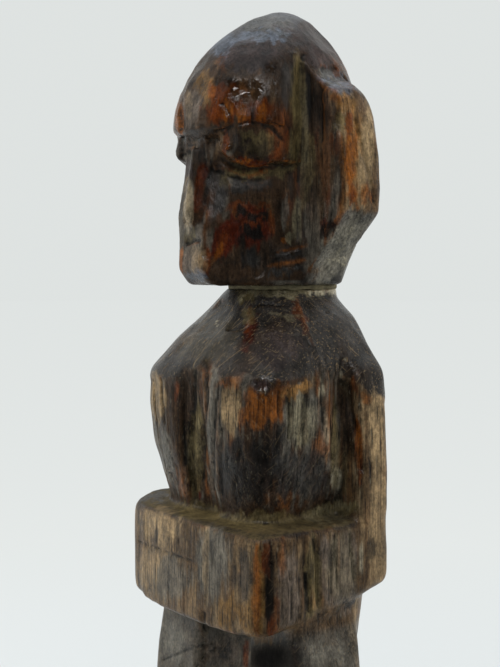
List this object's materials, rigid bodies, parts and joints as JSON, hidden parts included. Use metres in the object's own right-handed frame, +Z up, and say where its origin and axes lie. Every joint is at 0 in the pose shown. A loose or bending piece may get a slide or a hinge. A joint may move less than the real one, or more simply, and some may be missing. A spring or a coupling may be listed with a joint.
{
  "type": "carved standing figure",
  "caption": "Hand-carved standing wooden figure with a wedge face, flat wide ears and hands joined over the belly; its head is pegged on the neck. It stands on its own feet as an ornament.",
  "frame": {"origin": "centre of the overall footprint, on the plane of the soles", "axes": "+Z up along the figure, -Y the way the figure faces, +X to the figure's left"},
  "size_m": [0.0472, 0.0366, 0.1671],
  "materials": {
    "head_wood": "waxed dark hardwood, red-brown and glossy",
    "body_wood": "worn dark wood with open grain and soot-dark hollows",
    "peg_wood": "plain turned dowel",
    "filler": "matt, pale and dusty"
  },
  "bodies": {
    "root": {"head": "head_wood", "neck_peg": "peg_wood", "neck_filler": "filler", "body": "body_wood"}
  },
  "joints": []
}
